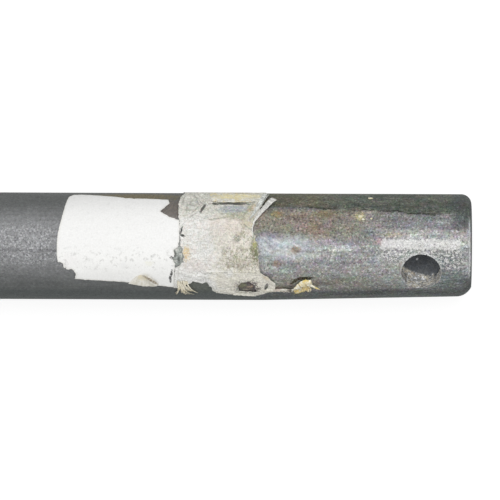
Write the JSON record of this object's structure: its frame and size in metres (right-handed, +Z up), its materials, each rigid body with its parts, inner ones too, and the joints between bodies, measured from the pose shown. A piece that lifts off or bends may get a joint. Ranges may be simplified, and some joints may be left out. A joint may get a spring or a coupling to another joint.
{
  "type": "pivot pin",
  "caption": "Solid round steel pivot pin with a worn rounded end, a blind locking recess drilled near that end, and a torn paper label and torn tape on its side.",
  "frame": {"origin": "under the middle of the bar, on the surface that the bar lies on", "axes": "+X along the bar towards the recess end, +Z up through the label, -Y the side that the recess leans to"},
  "size_m": [0.3048, 0.0384, 0.0384],
  "materials": {
    "steel": "bare rolled steel, satin, with rust tints, stains and rubbed bright patches",
    "label_paper": "matt white label paper",
    "backing_paper": "matt off-white paper, torn",
    "tape_paper": "creped beige paper tape, matt, aged",
    "stained_tape": "creped beige paper tape, stained yellow by old glue",
    "glue": "hardened yellowish glue, semi-gloss"
  },
  "bodies": {
    "root": {"bar": "steel", "paper_label": "label_paper", "curled_flap": "backing_paper", "torn_tape_band": "tape_paper", "upper_tape_strip": "stained_tape", "lower_tape_strip": "tape_paper", "rolled_strand": "backing_paper", "short_strand": "backing_paper", "fibre_tuft": "stained_tape", "torn_ribbon": "tape_paper", "torn_tuft": "stained_tape", "glue_specks": "glue"}
  },
  "joints": []
}
